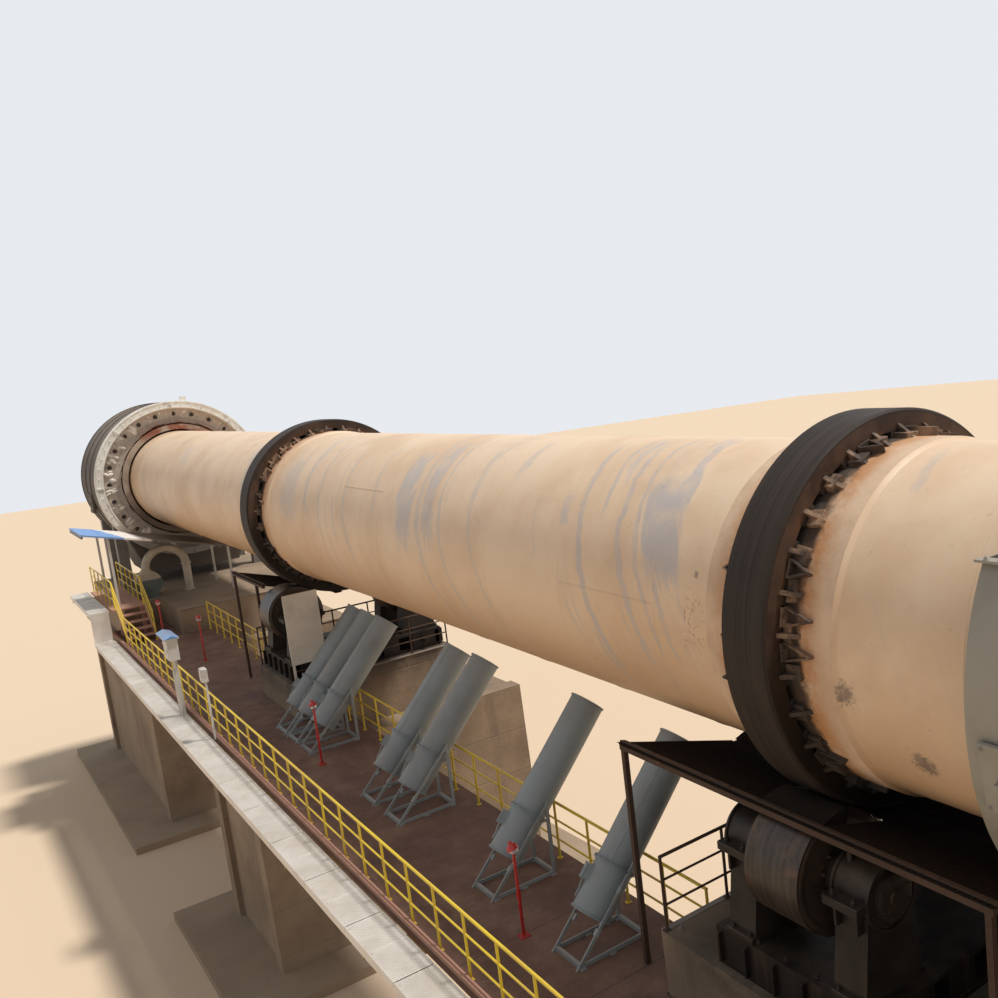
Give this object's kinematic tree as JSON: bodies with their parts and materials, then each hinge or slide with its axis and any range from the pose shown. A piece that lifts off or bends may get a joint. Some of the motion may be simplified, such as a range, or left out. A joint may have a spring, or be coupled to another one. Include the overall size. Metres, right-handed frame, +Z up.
{
  "type": "rotary kiln, 1:2 scale model",
  "caption": "Rotary kiln drum on tyres and support rollers, with girth gear drive, end rings, concrete piers, service walkway, cooling tubes and roller canopies.",
  "frame": {"origin": "on the ground, under the kiln axis at the middle of the middle tyre, on the middle pier's foot", "axes": "+X along the kiln towards its lower outlet end, +Y to the far side, away from the walkway, +Z up"},
  "size_m": [39.1172, 5.2, 7.7814],
  "materials": {
    "shell_paint": "matt, dusty",
    "tyre_steel": "oiled, dark",
    "seat_steel": "dusty, rusty",
    "gear_steel": "greased",
    "roller_steel": "rolled bright, oily",
    "bearing_iron": "oily, dusty",
    "frame_steel": "dark, dusty",
    "guard_paint": "matt",
    "gearbox_paint": "satin",
    "motor_paint": "satin",
    "ring_paint": "matt, dusty",
    "seal_paint": "matt, rusty",
    "chamber_steel": "matt, dusty",
    "leg_steel": "matt",
    "concrete": "rough",
    "deck_paint": "matt, dusty",
    "beam_paint": "matt, dusty",
    "rail_yellow": "gloss, worn",
    "tray_zinc": "dull",
    "bracket_paint": "matt, dusty",
    "tube_paint": "matt",
    "stand_paint": "matt",
    "roof_paint": "matt, dusty",
    "post_paint": "matt, rusty",
    "canopy_paint": "satin",
    "fan_paint": "matt, dusty",
    "lamp_red": "gloss",
    "box_paint": "satin",
    "panel_paint": "matt, dusty"
  },
  "bodies": {
    "plant": {"roller_bearings": "bearing_iron", "pinion_bearings": "bearing_iron", "roller_frames": "frame_steel", "gear_guard": "guard_paint", "gearbox": "gearbox_paint", "motor": "motor_paint", "inlet_ring": "ring_paint", "outlet_ring": "ring_paint", "inlet_seal": "seal_paint", "outlet_seal": "seal_paint", "inlet_chamber": "chamber_steel", "outlet_hood": "chamber_steel", "chamber_legs": "leg_steel", "pier_inlet_end": "concrete", "pier_inlet": "concrete", "pier_middle": "concrete", "pier_outlet": "concrete", "pier_outlet_end": "concrete", "walkway_deck": "deck_paint", "walkway_beams": "beam_paint", "near_railing": "rail_yellow", "far_railing": "rail_yellow", "cable_tray": "tray_zinc", "tray_brackets": "bracket_paint", "cooling_tubes": "tube_paint", "tube_stands": "stand_paint", "roller_roofs": "roof_paint", "roof_posts": "post_paint", "inlet_canopy": "canopy_paint", "inlet_landing": "deck_paint", "seal_fan": "fan_paint", "station_rails": "post_paint", "red_lamps": "lamp_red", "switch_box": "box_paint", "shield_panel": "panel_paint"},
    "drum": {"shell_1": "shell_paint", "shell_2": "shell_paint", "shell_3": "shell_paint", "shell_4": "shell_paint", "shell_5": "shell_paint", "tyre_inlet": "tyre_steel", "tyre_middle": "tyre_steel", "tyre_outlet": "tyre_steel", "seat_inlet": "seat_steel", "seat_middle": "seat_steel", "seat_outlet": "seat_steel", "girth_gear": "gear_steel"},
    "roller_inlet_near": {"roller_inlet_near": "roller_steel"},
    "roller_inlet_far": {"roller_inlet_far": "roller_steel"},
    "roller_middle_near": {"roller_middle_near": "roller_steel"},
    "roller_middle_far": {"roller_middle_far": "roller_steel"},
    "roller_outlet_near": {"roller_outlet_near": "roller_steel"},
    "roller_outlet_far": {"roller_outlet_far": "roller_steel"},
    "pinion": {"pinion": "gear_steel"}
  },
  "joints": [
    {"name": "drum_spin", "type": "hinge", "parent": "plant", "child": "drum", "pos_m": [0, 0, 5.4], "axis": [0.9994, 0, -0.0349], "continuous": true},
    {"name": "roller_inlet_near_spin", "type": "hinge", "parent": "plant", "child": "roller_inlet_near", "pos_m": [-9.79077, -0.77265, 4.40282], "axis": [0.9994, 0, -0.0349], "continuous": true},
    {"name": "roller_inlet_far_spin", "type": "hinge", "parent": "plant", "child": "roller_inlet_far", "pos_m": [-9.79077, 0.77265, 4.40282], "axis": [0.9994, 0, -0.0349], "continuous": true},
    {"name": "roller_middle_near_spin", "type": "hinge", "parent": "plant", "child": "roller_middle_near", "pos_m": [-0.04671, -0.77265, 4.06255], "axis": [0.9994, 0, -0.0349], "continuous": true},
    {"name": "roller_middle_far_spin", "type": "hinge", "parent": "plant", "child": "roller_middle_far", "pos_m": [-0.04671, 0.77265, 4.06255], "axis": [0.9994, 0, -0.0349], "continuous": true},
    {"name": "roller_outlet_near_spin", "type": "hinge", "parent": "plant", "child": "roller_outlet_near", "pos_m": [9.69736, -0.77265, 3.72228], "axis": [0.9994, 0, -0.0349], "continuous": true},
    {"name": "roller_outlet_far_spin", "type": "hinge", "parent": "plant", "child": "roller_outlet_far", "pos_m": [9.69736, 0.77265, 3.72228], "axis": [0.9994, 0, -0.0349], "continuous": true},
    {"name": "pinion_spin", "type": "hinge", "parent": "plant", "child": "pinion", "pos_m": [1.59559, 0.60671, 4.09959], "axis": [0.9994, 0, -0.0349], "continuous": true}
  ],
  "couplings": [
    {"joint": "roller_inlet_near_spin", "follows": "drum_spin", "ratio": -3.2917},
    {"joint": "roller_inlet_far_spin", "follows": "drum_spin", "ratio": -3.2917},
    {"joint": "roller_middle_near_spin", "follows": "drum_spin", "ratio": -3.2917},
    {"joint": "roller_middle_far_spin", "follows": "drum_spin", "ratio": -3.2917},
    {"joint": "roller_outlet_near_spin", "follows": "drum_spin", "ratio": -3.2917},
    {"joint": "roller_outlet_far_spin", "follows": "drum_spin", "ratio": -3.2917},
    {"joint": "pinion_spin", "follows": "drum_spin", "ratio": -5.9}
  ]
}
